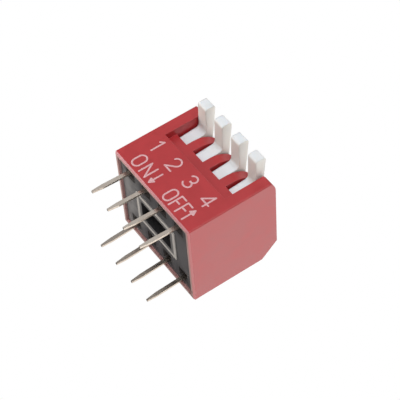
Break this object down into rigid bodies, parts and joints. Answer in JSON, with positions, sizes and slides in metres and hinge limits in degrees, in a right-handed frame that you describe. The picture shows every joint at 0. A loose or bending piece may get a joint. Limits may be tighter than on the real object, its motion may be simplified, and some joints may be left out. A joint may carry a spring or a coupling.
{
  "type": "piano-type dip switch",
  "caption": "Piano-type DIP switch: a red moulded housing on two rows of tapered tails, with white rocker levers whose knobs stand out of its upper front.",
  "frame": {"origin": "centre of the eight-tail footprint, on the plane where the housing's rim meets the board", "axes": "+X along the row from position 1 to 4, -Y the lever side, +Z away from the board, tails below the origin"},
  "size_m": [0.0116, 0.0121, 0.0131],
  "materials": {
    "housing_red": "moulded, satin",
    "base_dark": "moulded, matt",
    "lever_white": "moulded, satin",
    "tinned_terminal": "tin plated strip",
    "spring_steel": "drawn wire",
    "ball_plated": "gold plated"
  },
  "bodies": {
    "root": {"housing": "housing_red", "base": "base_dark", "terminal_front_1": "tinned_terminal", "terminal_front_2": "tinned_terminal", "terminal_front_3": "tinned_terminal", "terminal_front_4": "tinned_terminal", "terminal_back_1": "tinned_terminal", "terminal_back_2": "tinned_terminal", "terminal_back_3": "tinned_terminal", "terminal_back_4": "tinned_terminal"},
    "lever_body_1": {"lever_1": "lever_white", "spring_1": "spring_steel", "ball_1": "ball_plated"},
    "lever_body_2": {"lever_2": "lever_white", "spring_2": "spring_steel", "ball_2": "ball_plated"},
    "lever_body_3": {"lever_3": "lever_white", "spring_3": "spring_steel", "ball_3": "ball_plated"},
    "lever_body_4": {"lever_4": "lever_white", "spring_4": "spring_steel", "ball_4": "ball_plated"}
  },
  "joints": [
    {"name": "lever_tilt_1", "type": "hinge", "parent": "root", "child": "lever_body_1", "pos_m": [-0.00381, -0.00129, 0.00651], "axis": [1, 0, 0], "range_deg": [0, 22]},
    {"name": "lever_tilt_2", "type": "hinge", "parent": "root", "child": "lever_body_2", "pos_m": [-0.00127, -0.00129, 0.00651], "axis": [1, 0, 0], "range_deg": [0, 22]},
    {"name": "lever_tilt_3", "type": "hinge", "parent": "root", "child": "lever_body_3", "pos_m": [0.00127, -0.00129, 0.00651], "axis": [1, 0, 0], "range_deg": [0, 22]},
    {"name": "lever_tilt_4", "type": "hinge", "parent": "root", "child": "lever_body_4", "pos_m": [0.00381, -0.00129, 0.00651], "axis": [1, 0, 0], "range_deg": [0, 22]}
  ]
}
